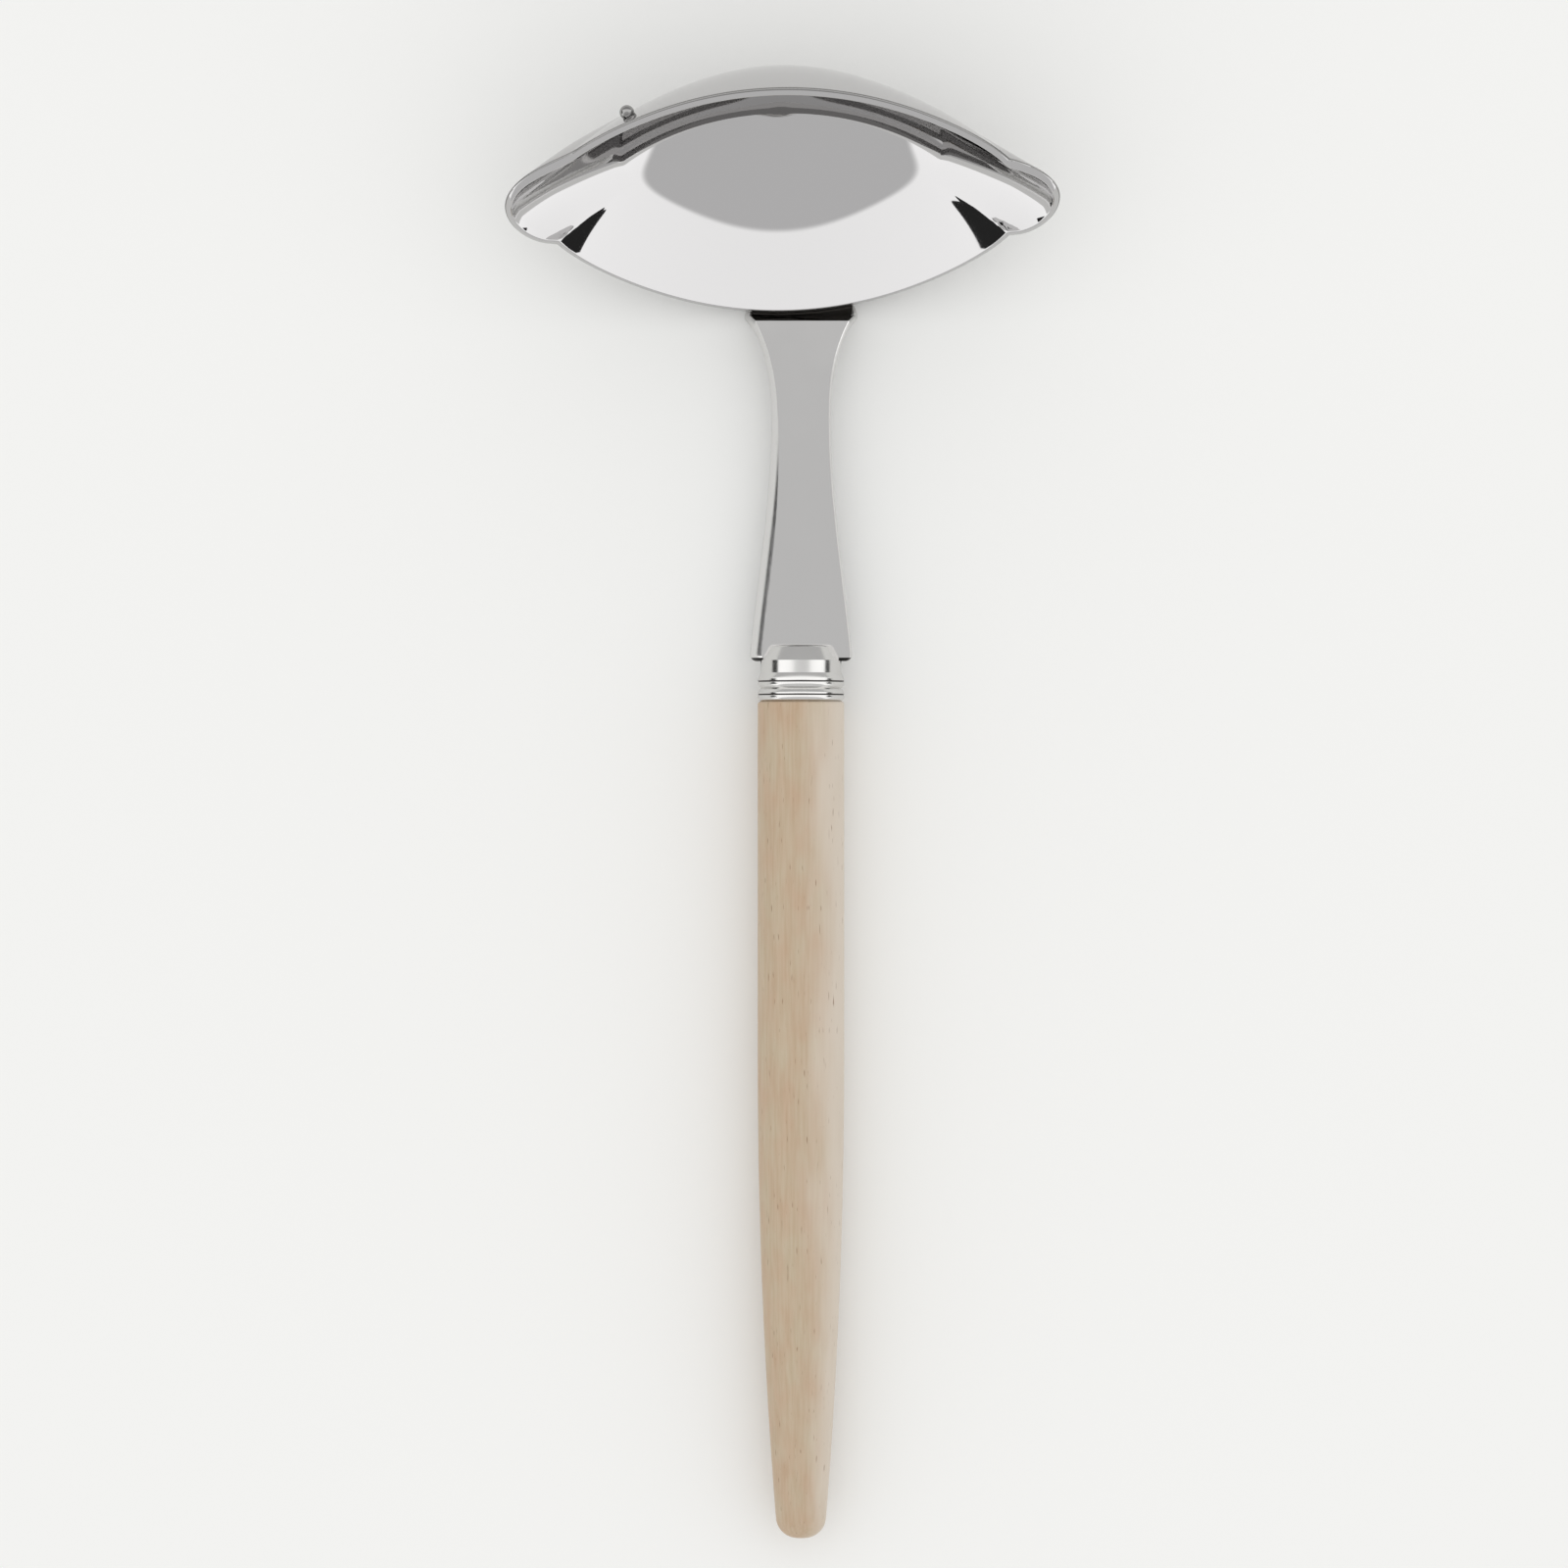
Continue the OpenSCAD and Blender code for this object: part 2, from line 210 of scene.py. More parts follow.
def linear(hex_colour):
    """An sRGB hex colour as the linear colour that a shader takes."""
    channels = [int(hex_colour[i : i + 2], 16) / 255 for i in (1, 3, 5)]
    return [c / 12.92 if c <= 0.04045 else ((c + 0.055) / 1.055) ** 2.4 for c in channels] + [1]


def add_node(tree, kind, inputs=None, **settings):
    """Adds a node with its settings, and sets its inputs to values or to other nodes' outputs."""
    node = tree.nodes.new(kind)
    for name, value in settings.items():
        setattr(node, name, value)
    for name, value in (inputs or {}).items():
        if isinstance(value, bpy.types.NodeSocket):
            tree.links.new(value, node.inputs[name])
        else:
            node.inputs[name].default_value = value
    return node


def steel(name, colour, smoothest, roughest, mark_size):
    """Polished stainless steel, whose gloss changes a little over marks of a size in millimetres."""
    material = bpy.data.materials.new(name)
    material.use_nodes = True
    tree = material.node_tree
    shader = tree.nodes["Principled BSDF"]
    shader.inputs["Base Color"].default_value = linear(colour)
    shader.inputs["Metallic"].default_value = 1
    place = add_node(tree, "ShaderNodeTexCoord").outputs["Object"]
    marks = add_node(
        tree, "ShaderNodeTexNoise", {"Vector": place, "Scale": 1 / (mark_size * mm), "Detail": 3}
    )
    gloss = add_node(
        tree,
        "ShaderNodeMapRange",
        {
            "Value": marks.outputs["Fac"],
            "From Min": 0.3,
            "From Max": 0.7,
            "To Min": smoothest,
            "To Max": roughest,
        },
    )
    tree.links.new(gloss.outputs["Result"], shader.inputs["Roughness"])
    return material


# Mirror polish: near white where the room is white, with a gloss that varies softly where the buffing
# wheel ran.
mirror_steel = steel(
    "mirror_polished_stainless_steel", "#bfbebe", smoothest=0.02, roughest=0.05, mark_size=6
)

# Ground edge: a duller line round the outside of the rim, where the trimmed sheet was ground and not
# buffed. Its darker grey is a painted reflection of the dark surroundings that the edge mirrors.
ground_edge_painted_dark = steel("ground_rim_edge_painted_dark", "#8b8a89", smoothest=0.2, roughest=0.3, mark_size=2)

bowl_maker = shaped_grid(
    skin_columns,
    2 * skin_rings,
    lambda column, row: bowl_frame @ bowl_skin(2 * pi * column / skin_columns, row - skin_rings),
)
to_bowl = bowl_frame.inverted()
# Faces round the outside of the rim take the ground edge with its painted darker grey.
for face in bowl_maker.faces:
    middle = to_bowl @ face.calc_center_median()
    outside = bowl_point(atan2(middle.y, middle.x), rim_level, 0)
    if -rim_round < middle.z < ground_height and middle.xy.length > outside.xy.length - ground_width:
        face.material_index = 1
bowl = add_piece("bowl_pressing", bowl_maker, mirror_steel)
bowl.data.materials.append(ground_edge_painted_dark)
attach(bowl, "root")
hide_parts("bowl")

# Neck
# A flat stainless bar, forged to a waist and polished. Its cranked end carries a thin tongue that is
# brazed under the bowl's near wall, and its foot sits in the ferrule's slot with a round tang that runs
# on into the handle.
neck_thickness = 2.4
neck_length = 45
neck_foot_place = 5.35
neck_foot_width = 13.7
neck_waist_width = 7.9
neck_waist_place = 31.6
neck_bend_width = 13.4
neck_bend_power = 2.5
left_edge_depth = 2.2
left_edge_share = 0.9
left_edge_at_foot = 1.55
left_edge_at_bend = 0.7
left_edge_fade_start = 10
left_edge_fade_end = 42
right_edge_depth = 0.8
right_edge_share = 0.5
right_edge_at_foot = 0.26
right_edge_at_bend = 0.42
right_edge_fade_start = 30
left_crease = radians(39.5)
right_crease = radians(46)
edge_end = radians(80)
under_edge = 0.3
under_edge_share = 0.4
under_left_share = 0.05
foot_round = 0.5
foot_corner = 1
tongue_width = 15
tongue_start = 1.3
tongue_end = 0.5
tongue_oval_length = 1.1
tongue_first = rim_level - radians(0.4)
tongue_last = rim_level + radians(6)
braze_thickness = 0.2
tang_diameter = 4.4
tang_length = 45
tang_seat = 0.6
sharp_bend = radians(25)
bar_steps = 60
first_bar_step = 2
corner_steps = 8
tongue_steps = 10
edge_steps = 8
round_sides = 64
face_shares = (0, 0.01, 0.5, 0.99, 1)

foot_place = joint_place + neck_foot_place
bend_place = foot_place + neck_length
neck_top = axis_height + neck_thickness / 2


def bar_half(distance):
    """Half width of the flat bar at a distance from its foot."""
    down = (neck_waist_place - distance) / neck_waist_place
    up = (distance - neck_waist_place) / (neck_length - neck_waist_place)
    waist = neck_waist_width / 2
    if down > 0:
        return waist + (neck_foot_width / 2 - waist) * down**2 * (2 - down)
    return waist + (neck_bend_width / 2 - waist) * up**neck_bend_power


def faded(first, last, start, end, distance):
    """A value that changes softly from first to last between two distances from the foot."""
    share = max(0, min(1, (distance - start) / (end - start)))
    return first + (last - first) * (1 - cos(pi * share)) / 2


def edge_shape(distance):
    """Widths of the rolled left edge and the slim right edge, and the left crease, at a distance."""
    left = faded(left_edge_at_foot, left_edge_at_bend, left_edge_fade_start, left_edge_fade_end, distance)
    right = faded(right_edge_at_foot, right_edge_at_bend, right_edge_fade_start, neck_length, distance)
    crease = faded(left_crease, right_crease, left_edge_fade_start, left_edge_fade_end, distance)
    return left, right, crease


def wall_line(level, gap):
    """Middle line of the bowl's near wall at a level, moved outwards: a place along and a height."""
    point = Vector((0, -full_length * cos(level), cut_height - full_depth * sin(level)))
    normal = Vector((0, point.y / full_length**2, (point.z - cut_height) / full_depth**2)).normalized()
    moved = point + normal * gap
    return Vector((
        rim_place + moved.y * cos(bowl_tilt) - moved.z * sin(bowl_tilt),
        rim_height + moved.y * sin(bowl_tilt) + moved.z * cos(bowl_tilt),
    ))


def tongue_row(step):
    """Upper and lower place, upper and lower half width, and edge shape of one row of the tongue."""
    share = step / tongue_steps
    level = tongue_first + (tongue_last - tongue_first) * share
    thickness = tongue_start + (tongue_end - tongue_start) * share
    half = tongue_width / 2 * sqrt(1 - (share / tongue_oval_length) ** 2)
    top = wall_line(level, braze_thickness)
    return top, wall_line(level, braze_thickness + thickness), half, half, edge_shape(neck_length)


def foot_row(step):
    """One row of the bar's foot, whose corners are round and whose end is eased."""
    angle = pi / 2 * step / corner_steps
    run = foot_corner * (1 - cos(angle))
    inset = foot_round * (1 - sqrt(1 - max(0, 1 - run / foot_round) ** 2))
    top = Vector((foot_place + run, neck_top - inset))
    bottom = Vector((foot_place + run, neck_top - neck_thickness + inset))
    half = bar_half(run) - foot_corner * (1 - sin(angle))
    return top, bottom, half, half, edge_shape(0)


tongue_rows = [tongue_row(step) for step in range(tongue_steps + 1)]
crank_end = tongue_rows[0][0]
bend_top = Vector((bend_place, neck_top))
crank_angle = atan2(neck_top - crank_end.y, crank_end.x - bend_place)
bend_bottom = Vector((bend_place - neck_thickness * tan(crank_angle / 2), neck_top - neck_thickness))
foot_top = Vector((foot_place, neck_top))
foot_bottom = Vector((foot_place, neck_top - neck_thickness))
bar_rows = [
    (
        foot_top.lerp(bend_top, share),
        foot_bottom.lerp(bend_bottom, share),
        bar_half(neck_length * share),
        bar_half((bend_bottom.x - foot_place) * share),
        edge_shape(neck_length * share),
    )
    for share in (i / bar_steps for i in range(first_bar_step, bar_steps + 1))
]
neck_rows = [foot_row(step) for step in range(corner_steps + 1)] + bar_rows + tongue_rows
edge_angles = [pi / 2 * i / edge_steps for i in range(edge_steps + 1)]


def rolled_edge(width, depth, crease):
    """Points from the face outwards and down over an edge: distances in from the side and down."""
    angles = [crease + (edge_end - crease) * i / edge_steps for i in range(edge_steps + 1)]
    run = sin(edge_end) - sin(crease)
    fall = cos(crease) - cos(edge_end)
    return [
        (width * (sin(edge_end) - sin(a)) / run, depth * (cos(crease) - cos(a)) / fall) for a in angles
    ]


def neck_ring(row):
    """Ring of points round the neck at one row, with a crease along each side of the face."""
    top, bottom, half, low_half, (left, right, crease) = row
    thickness = (bottom - top).length
    left_line = rolled_edge(left, min(left_edge_depth, left_edge_share * thickness), crease)
    right_line = rolled_edge(right, min(right_edge_depth, right_edge_share * thickness), right_crease)
    edge = min(under_edge, under_edge_share * thickness)
    low = min(edge, under_left_share * thickness)
    places = [(left - half + (2 * half - left - right) * s, 0) for s in face_shares]
    places += [(half - inwards, depth) for inwards, depth in right_line[1:]]
    places += [(half - edge * (1 - cos(a)), thickness - edge * (1 - sin(a))) for a in edge_angles]
    places += [(half - edge - (2 * half - edge - low) * s, thickness) for s in face_shares[1:]]
    places += [(low * (1 - sin(a)) - half, thickness - low * (1 - cos(a))) for a in edge_angles[1:]]
    places += [(inwards - half, depth) for inwards, depth in reversed(left_line[1:])]
    down = (bottom - top).normalized()
    slimming = (low_half / half - 1) / thickness
    return [
        Vector((axis_side + across * (1 + slimming * depth), *(top + down * depth)))
        for across, depth in places
    ]


neck_rings = [neck_ring(row) for row in neck_rows]
neck_columns = len(neck_rings[0])
neck_maker = shaped_grid(
    neck_columns, len(neck_rings) - 1, lambda column, row: neck_rings[row][column % neck_columns]
)
bmesh.ops.holes_fill(neck_maker, edges=[edge for edge in neck_maker.edges if edge.is_boundary], sides=0)
bmesh.ops.recalc_face_normals(neck_maker, faces=neck_maker.faces)
along_handle = Matrix.Translation((axis_side, joint_place, axis_height)) @ Matrix.Rotation(-pi / 2, 4, "X")
tang_top = neck_foot_place + tang_seat
bmesh.ops.create_cone(
    neck_maker,
    cap_ends=True,
    segments=round_sides,
    radius1=tang_diameter / 2,
    radius2=tang_diameter / 2,
    depth=tang_length + tang_seat,
    matrix=along_handle @ Matrix.Translation((0, 0, tang_top - (tang_length + tang_seat) / 2)),
)

# Fine polish: a little greyer than the bowl's mirror, because the flat was finished on a felt belt.
neck_steel = steel("belt_polished_stainless_steel", "#cac9c8", smoothest=0.05, roughest=0.08, mark_size=4)
neck = add_piece("neck_forging", neck_maker, neck_steel, sharp_bend)

# Painted light on the neck: brighter steel on the edges that the buffing wheel has rounded, a painted
# highlight; greyer steel on the crank in the corner under the bowl, painted shade; and near black steel on
# the end of the foot, a painted shadow of the shaded floor that it mirrors.
# Brighter steel for the rounded edges: a painted highlight.
neck.data.materials.append(
    steel("buffed_edge_painted_highlight", "#dcdbda", smoothest=0.2, roughest=0.24, mark_size=2)
)
# Greyer steel for the crank: painted shade in the corner under the bowl.
neck.data.materials.append(
    steel("crank_painted_shade_steel", "#bebdbc", smoothest=0.05, roughest=0.1, mark_size=0.8)
)
# Near black steel for the end of the foot: a painted shadow of the shaded floor that the end mirrors.
neck.data.materials.append(steel("foot_end_painted_shadow", "#2b2a29", smoothest=0.3, roughest=0.5, mark_size=0.6))
painted_highlight_index, crank_shade_index, foot_shadow_index = 1, 2, 3
to_crank_face = Vector((0, 1, 0.3))
crank_facing = 0.5
foot_facing = -0.25
# Faces of the foot's end, the crank and the edges take the painted shadow, shade and highlight.
for face in neck.data.polygons:
    if face.center.y < (foot_place + foot_round) * mm and face.normal.y < foot_facing:
        face.material_index = foot_shadow_index
    elif face.center.y > bend_place * mm and face.normal.dot(to_crank_face) > crank_facing:
        face.material_index = crank_shade_index
    elif face.normal.z < cos(sharp_bend):
        face.material_index = painted_highlight_index
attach(neck, "root")
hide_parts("neck")

# Braze
# Silver filler metal, melted into the gap between the tongue and the bowl's near wall. It holds the neck to
# the bowl and lies in the shade under the rim.
braze = bpy.data.objects["braze"]

# Dark braze: a dull dark grey, painted shade that stands in for the shade in the crevice under the rim.
braze_metal = steel("braze_painted_shade", "#4b4946", smoothest=0.3, roughest=0.5, mark_size=1.5)
braze.data.materials.clear()
braze.data.materials.append(braze_metal)

# Ferrule
# A small stainless cap, turned from bar and polished, with a domed top and two soft beads. A slot across
# its dome takes the foot of the neck, and a recess below takes the handle's tenon.
ferrule_height = 7.5
ferrule_radius = 5.35
ferrule_shoulder = 5.45
ferrule_cone = 1.65
cone_slope = radians(28)
dome_round = 0.7
bead_count = 2
bead_radius = 5.72
bead_pitch = 1.75
bead_rise = 0.38
bead_ridge = 0.58
bead_crown_end = 1.15
bead_fall_power = 1.3
groove_start = 0.82
groove_end = 1.02
groove_depth = 0.1
groove_start_share = 0.6
groove_above_recess = 0.5
flare_top = 3.8
barrel_margin = 0.05
ferrule_wall = 1.2
ferrule_roof = 1.3
ferrule_slot_depth = 2.15
fit_clearance = 0.08
flank_steps = 6
dome_steps = 16

tenon_length = neck_foot_place - ferrule_roof
recess_radius = ferrule_radius - ferrule_wall


def bead_outline(start, end_radius, end):
    """Radii and heights of one bead: a swelling flank, a scored groove below its crown, a falling flank."""
    shares = [i / flank_steps for i in range(flank_steps + 1)]
    rising = [(bead_radius - bead_rise * (1 - sin(pi / 2 * s)), start + bead_ridge * s) for s in shares]
    groove = [
        (bead_radius - groove_depth * groove_start_share, start + groove_start),
        (bead_radius - groove_depth, start + (groove_start + groove_end) / 2),
        (bead_radius, start + groove_end),
    ]
    crown = start + bead_crown_end
    fall = bead_radius - end_radius
    falling = [
        (end_radius + fall * (1 - s**bead_fall_power), crown + (end - crown) * s) for s in shares[:-1]
    ]
    return rising + groove + falling


def dome_outline(step):
    """Radius and height of one point of the coned top, from its shoulder over its rounded edge."""
    if step == 0:
        return ferrule_radius, ferrule_shoulder
    angle = cone_slope + (pi / 2 - cone_slope) * (step - 1) / (dome_steps - 1)
    radius = ferrule_radius - ferrule_cone * tan(cone_slope) - dome_round * (cos(cone_slope) - cos(angle))
    return radius, ferrule_height - dome_round * (1 - sin(angle))


def turned_piece(outline):
    """A round piece, spun on the handle's axis from an outline of radii and places along the axis."""
    maker = bmesh.new()
    line = [maker.verts.new((radius, 0, place)) for radius, place in outline]
    edges = [maker.edges.new(pair) for pair in zip(line, line[1:])]
    bmesh.ops.spin(
        maker,
        geom=line + edges,
        axis=(0, 0, 1),
        cent=(0, 0, 0),
        angle=2 * pi,
        steps=2 * round_sides,
        use_merge=True,
    )
    bmesh.ops.remove_doubles(maker, verts=maker.verts, dist=merge_distance)
    bmesh.ops.recalc_face_normals(maker, faces=maker.faces)
    bmesh.ops.transform(maker, matrix=along_handle, verts=maker.verts)
    return maker


def cut_out(piece, maker):
    """Cuts a closed shape in millimetres out of a piece."""
    cutter = add_piece("cutter", maker, piece.data.materials[0])
    cut = piece.modifiers.new("cut", "BOOLEAN")
    cut.object = cutter
    cut.solver = "EXACT"
    bpy.context.view_layer.update()
    result = bpy.data.meshes.new_from_object(piece.evaluated_get(bpy.context.evaluated_depsgraph_get()))
    piece.modifiers.clear()
    piece.data = result
    result.name = piece.name
    bpy.data.objects.remove(cutter)


ferrule_maker = turned_piece(
    [(0, tenon_length + fit_clearance), (recess_radius, tenon_length + fit_clearance), (recess_radius, 0)]
    + bead_outline(0, bead_radius - bead_rise, bead_pitch)
    + bead_outline(bead_pitch, ferrule_radius, flare_top)
    + [(ferrule_radius, flare_top), (ferrule_radius, flare_top + barrel_margin)]
    + [(ferrule_radius, ferrule_shoulder - barrel_margin)]
    + [dome_outline(step) for step in range(dome_steps + 1)]
    + [(0, ferrule_height)]
)

# Polished turned steel: bright with soft reflections, because fine turning marks stay under the polish.
ferrule_steel = steel(
    "polished_turned_stainless_steel", "#d2d1cf", smoothest=0.17, roughest=0.21, mark_size=2
)
ferrule = add_piece("ferrule_turning", ferrule_maker, ferrule_steel, sharp_bend)

# Darker grey steel in the two scored grooves.
ferrule.data.materials.append(
    steel("dark_groove_steel", "#4a4745", smoothest=0.4, roughest=0.6, mark_size=0.5)
)
for face in ferrule.data.polygons:
    height = face.center.y / mm - joint_place
    across = hypot(face.center.x / mm - axis_side, face.center.z / mm - axis_height)
    on_beads = across > recess_radius + groove_above_recess and height < bead_pitch * bead_count
    if on_beads and groove_start < height % bead_pitch < groove_end:
        face.material_index = 1

slot_maker = bmesh.new()
slot_size = (4 * ferrule_radius, neck_thickness + 2 * fit_clearance, 2 * ferrule_slot_depth)
bmesh.ops.create_cube(
    slot_maker,
    size=1,
    matrix=along_handle
    @ Matrix.Translation((0, 0, neck_foot_place + ferrule_slot_depth))
    @ Matrix.Diagonal((*slot_size, 1)),
)
cut_out(ferrule, slot_maker)
bore_maker = bmesh.new()
bmesh.ops.create_cone(
    bore_maker,
    cap_ends=True,
    segments=round_sides,
    radius1=tang_diameter / 2 + fit_clearance,
    radius2=tang_diameter / 2 + fit_clearance,
    depth=tang_top + fit_clearance,
    matrix=along_handle @ Matrix.Translation((0, 0, (tang_top + fit_clearance) / 2)),
)
cut_out(ferrule, bore_maker)
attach(ferrule, "root")
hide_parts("ferrule")

# Handle
# A round maple handle, turned in one piece, straight for the hand and then tapered to a rounded end. It is
# sanded and oiled, its tenon sits in the ferrule, and a blind bore holds the tang.
handle_length = 110.7
handle_radius = 5.725
handle_straight = 47.5
handle_radius_at_tip = 3.1
handle_end_round = 2.8
handle_edge_round = 0.4
resin_thickness = 0.4
resin_plug = 1.5
sharp_turning = radians(40)
taper_steps = 40
end_steps = 16

taper_length = handle_length - handle_straight
taper_drop = handle_radius - handle_radius_at_tip
taper_radius = (taper_length**2 + taper_drop**2) / (2 * taper_drop)
taper_end = (taper_length - handle_end_round) / (1 - handle_end_round / taper_radius)
taper_slope = asin(taper_end / taper_radius)
bore_radius = tang_diameter / 2 + resin_thickness
bore_end = neck_foot_place - tang_length - resin_plug
tenon_radius = recess_radius - fit_clearance


def taper_outline(step):
    """Radius and place of one point along the straight grip's end and the taper."""
    run = taper_end * step / taper_steps
    return handle_radius - taper_radius + sqrt(taper_radius**2 - run**2), -handle_straight - run


def end_outline(step):
    """Radius and place of one point of the rounded end."""
    angle = taper_slope + (pi / 2 - taper_slope) * step / end_steps
    centre = taper_outline(taper_steps)[0] - handle_end_round * cos(taper_slope)
    return centre + handle_end_round * cos(angle), handle_end_round * (1 - sin(angle)) - handle_length


def handle_edge(step):
    """Radius and place of one point of the eased edge below the ferrule."""
    angle = pi / 2 * step / edge_steps
    return handle_radius - handle_edge_round * (1 - sin(angle)), handle_edge_round * (cos(angle) - 1)


handle_maker = turned_piece(
    [(0, bore_end), (bore_radius, bore_end), (bore_radius, tenon_length), (tenon_radius, tenon_length)]
    + [(tenon_radius, 0)]
    + [handle_edge(step) for step in range(edge_steps + 1)]
    + [taper_outline(step) for step in range(taper_steps + 1)]
    + [end_outline(step) for step in range(1, end_steps + 1)]
    + [(0, -handle_length)]
)

# Oiled maple: a pale even ground with fine grain along the handle and short brown flecks, and a satin
# surface. Each pattern is a noise in cells of a width across the grain and a length along it.
grain_width = 0.35
grain_length = 7
tone_width = 2.4
tone_length = 5
painted_sheen_width = 4
painted_sheen_length = 16
fleck_width = 0.2
fleck_length = 1.8
grain_relief = 0.05
maple = bpy.data.materials.new("oiled_maple")
maple.use_nodes = True
maple_tree = maple.node_tree
maple_shader = maple_tree.nodes["Principled BSDF"]
maple_place = add_node(maple_tree, "ShaderNodeTexCoord").outputs["Object"]
wood = {}
for name, width, length, detail in (
    ("grain", grain_width, grain_length, 4),
    ("tone", tone_width, tone_length, 2),
    ("painted_sheen", painted_sheen_width, painted_sheen_length, 2),
    ("fleck", fleck_width, fleck_length, 0),
):
    cells = (1 / (width * mm), 1 / (length * mm), 1 / (width * mm))
    stretched = add_node(maple_tree, "ShaderNodeMapping", {"Vector": maple_place, "Scale": cells})
    inputs = {"Vector": stretched.outputs["Vector"], "Scale": 1, "Detail": detail}
    wood[name] = add_node(maple_tree, "ShaderNodeTexNoise", inputs).outputs["Fac"]

wood_ground = add_node(maple_tree, "ShaderNodeValToRGB", {"Fac": wood["tone"]})
wood_ground.color_ramp.elements[0].position = 0.3
wood_ground.color_ramp.elements[0].color = linear("#bda48a")
wood_ground.color_ramp.elements[1].position = 0.7
wood_ground.color_ramp.elements[1].color = linear("#beae95")
grain_tone = add_node(maple_tree, "ShaderNodeValToRGB", {"Fac": wood["grain"]})
grain_tone.color_ramp.elements[0].position = 0.35
grain_tone.color_ramp.elements[0].color = linear("#f7f3ee")
grain_tone.color_ramp.elements[1].position = 0.6
grain_tone.color_ramp.elements[1].color = linear("#ffffff")
grained = add_node(
    maple_tree,
    "ShaderNodeMix",
    {"Factor": 1, "A": wood_ground.outputs["Color"], "B": grain_tone.outputs["Color"]},
    data_type="RGBA",
    blend_type="MULTIPLY",
)

# Painted sheen: a paler, whiter colour down the right side, with a wavering edge, for light from the right.
side_place = add_node(
    maple_tree,
    "ShaderNodeMapping",
    {
        "Vector": maple_place,
        "Location": (-axis_side / handle_radius, 0, 0),
        "Scale": (1 / (handle_radius * mm), 1, 1),
    },
)
side = add_node(maple_tree, "ShaderNodeSeparateXYZ", {"Vector": side_place.outputs["Vector"]})
sheen_edge = add_node(
    maple_tree, "ShaderNodeMath", {0: wood["painted_sheen"], 1: side.outputs["X"]}, operation="ADD"
)
painted_sheen = add_node(
    maple_tree,
    "ShaderNodeMapRange",
    {"Value": sheen_edge.outputs["Value"], "From Min": 0.4, "From Max": 1.5, "To Min": 0, "To Max": 1},
    interpolation_type="SMOOTHSTEP",
)
paler = add_node(
    maple_tree,
    "ShaderNodeMix",
    {"Factor": painted_sheen.outputs["Result"], "A": grained.outputs["Result"], "B": linear("#d0c4b5")},
    data_type="RGBA",
)

# Short brown flecks of the wood's rays.
fleck_share = add_node(
    maple_tree,
    "ShaderNodeMapRange",
    {"Value": wood["fleck"], "From Min": 0.77, "From Max": 0.87, "To Min": 0, "To Max": 0.75},
)
flecked = add_node(
    maple_tree,
    "ShaderNodeMix",
    {"Factor": fleck_share.outputs["Result"], "A": paler.outputs["Result"], "B": linear("#7d5a3e")},
    data_type="RGBA",
)
maple_tree.links.new(flecked.outputs["Result"], maple_shader.inputs["Base Color"])
maple_shader.inputs["Roughness"].default_value = 0.5
grain_bump = add_node(
    maple_tree,
    "ShaderNodeBump",
    {"Height": wood["grain"], "Strength": 0.15, "Distance": grain_relief * mm},
)
maple_tree.links.new(grain_bump.outputs["Normal"], maple_shader.inputs["Normal"])
handle = add_piece("handle_turning", handle_maker, maple, sharp_turning)
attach(handle, "root")
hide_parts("handle")

# Adhesive
# Clear amber resin that holds the tang in the handle. It is poured into the bore as a liquid and cures
# round the steel.
resin_cloud_size = 3
adhesive = bpy.data.objects["adhesive"]

# Cured amber resin: a clear yellow gloss with faint clouds from the pour.
resin = bpy.data.materials.new("cured_amber_resin")
resin.use_nodes = True
resin_tree = resin.node_tree
resin_shader = resin_tree.nodes["Principled BSDF"]
resin_place = add_node(resin_tree, "ShaderNodeTexCoord").outputs["Object"]
resin_cloud = add_node(
    resin_tree,
    "ShaderNodeTexNoise",
    {"Vector": resin_place, "Scale": 1 / (resin_cloud_size * mm), "Detail": 2},
)
resin_tone = add_node(resin_tree, "ShaderNodeValToRGB", {"Fac": resin_cloud.outputs["Fac"]})
resin_tone.color_ramp.elements[0].position = 0.35
resin_tone.color_ramp.elements[0].color = linear("#cbae6c")
resin_tone.color_ramp.elements[1].position = 0.65
resin_tone.color_ramp.elements[1].color = linear("#dcc68c")
resin_tree.links.new(resin_tone.outputs["Color"], resin_shader.inputs["Base Color"])
resin_shader.inputs["Roughness"].default_value = 0.25
resin_shader.inputs["IOR"].default_value = 1.55
adhesive.data.materials.clear()
adhesive.data.materials.append(resin)

# Rest bead
# A small solid ball of polished steel on the outside of the bowl's far wall, left of the middle. One side
# is ground flat, and that side is fixed to the wall.
ball_diameter = 1.9
ball_flat = 0.5
ball_angle = radians(145.5)
ball_level = radians(37.5)
sharp_ball = radians(60)
ball_steps = 24

ball_radius = ball_diameter / 2
ball_point = bowl_point(ball_angle, ball_level, 0)
ball_normal = Vector((
    ball_point.x / full_width**2, ball_point.y / full_length**2, (ball_point.z - cut_height) / full_depth**2
)).normalized()
ball_start = asin((ball_radius - ball_flat) / ball_radius)
ball_outline = [(0, 0)] + [
    (ball_radius * cos(angle), ball_radius - ball_flat + ball_radius * sin(angle))
    for angle in (-ball_start + (pi / 2 + ball_start) * i / ball_steps for i in range(ball_steps + 1))
]
ball_maker = turned_piece(ball_outline)
to_wall = (
    Matrix.Translation(bowl_frame @ ball_point)
    @ (bowl_frame.to_3x3() @ ball_normal).to_track_quat("Z", "Y").to_matrix().to_4x4()
)
bmesh.ops.transform(ball_maker, matrix=to_wall @ along_handle.inverted(), verts=ball_maker.verts)

# Polished ball steel: a small mirror, painted darker than the bowl as a painted reflection of dark
# surroundings.
ball_steel = steel("polished_ball_painted_dark", "#949392", smoothest=0.05, roughest=0.1, mark_size=1)
ball = add_piece("bead_ball", ball_maker, ball_steel, sharp_ball)
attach(ball, "root")
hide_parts("rest_bead")

# Floor
# A plain table top under matt white paper. It is wide enough to fill every view, and it keeps the soft
# shadow under the ladle.
floor_size = 8000

